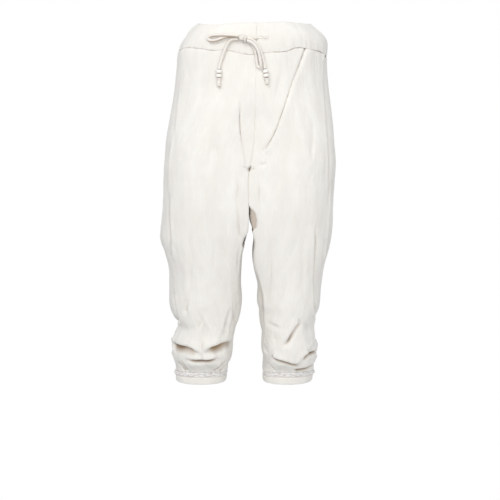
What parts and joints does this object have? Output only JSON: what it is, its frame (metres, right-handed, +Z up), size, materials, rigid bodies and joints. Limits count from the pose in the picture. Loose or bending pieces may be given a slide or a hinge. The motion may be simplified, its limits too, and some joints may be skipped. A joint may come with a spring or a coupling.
{
  "type": "jogger pants",
  "caption": "Loose jogger pants in worn, hollow form, with a folded drawstring waistband tied in a bow, beaded cord ends and gathered cuffs below the knee.",
  "frame": {"origin": "middle of the waist opening, level with the highest edge of the waistband, where the wearer holds the garment", "axes": "+Z up the body, -Y towards the front, +X towards the wearer's left leg"},
  "size_m": [0.3826, 0.247, 0.788],
  "materials": {
    "cloth": "soft matt slub weave",
    "cord": "matt twisted cord",
    "beads": "satin off-white"
  },
  "bodies": {
    "root": {"front_right": "cloth", "back_right": "cloth", "front_left": "cloth", "back_left": "cloth", "waistband_right": "cloth", "waistband_left": "cloth", "cuff_right": "cloth", "cuff_left": "cloth", "cord_feed": "cord", "cord_loop_right": "cord", "cord_loop_left": "cord", "cord_tail_right": "cord", "cord_tail_left": "cord", "cord_knot": "cord", "tip_right": "cord", "tip_left": "cord", "bead_right_upper": "beads", "bead_right_lower": "beads", "bead_left_upper": "beads", "bead_left_lower": "beads"}
  },
  "joints": []
}
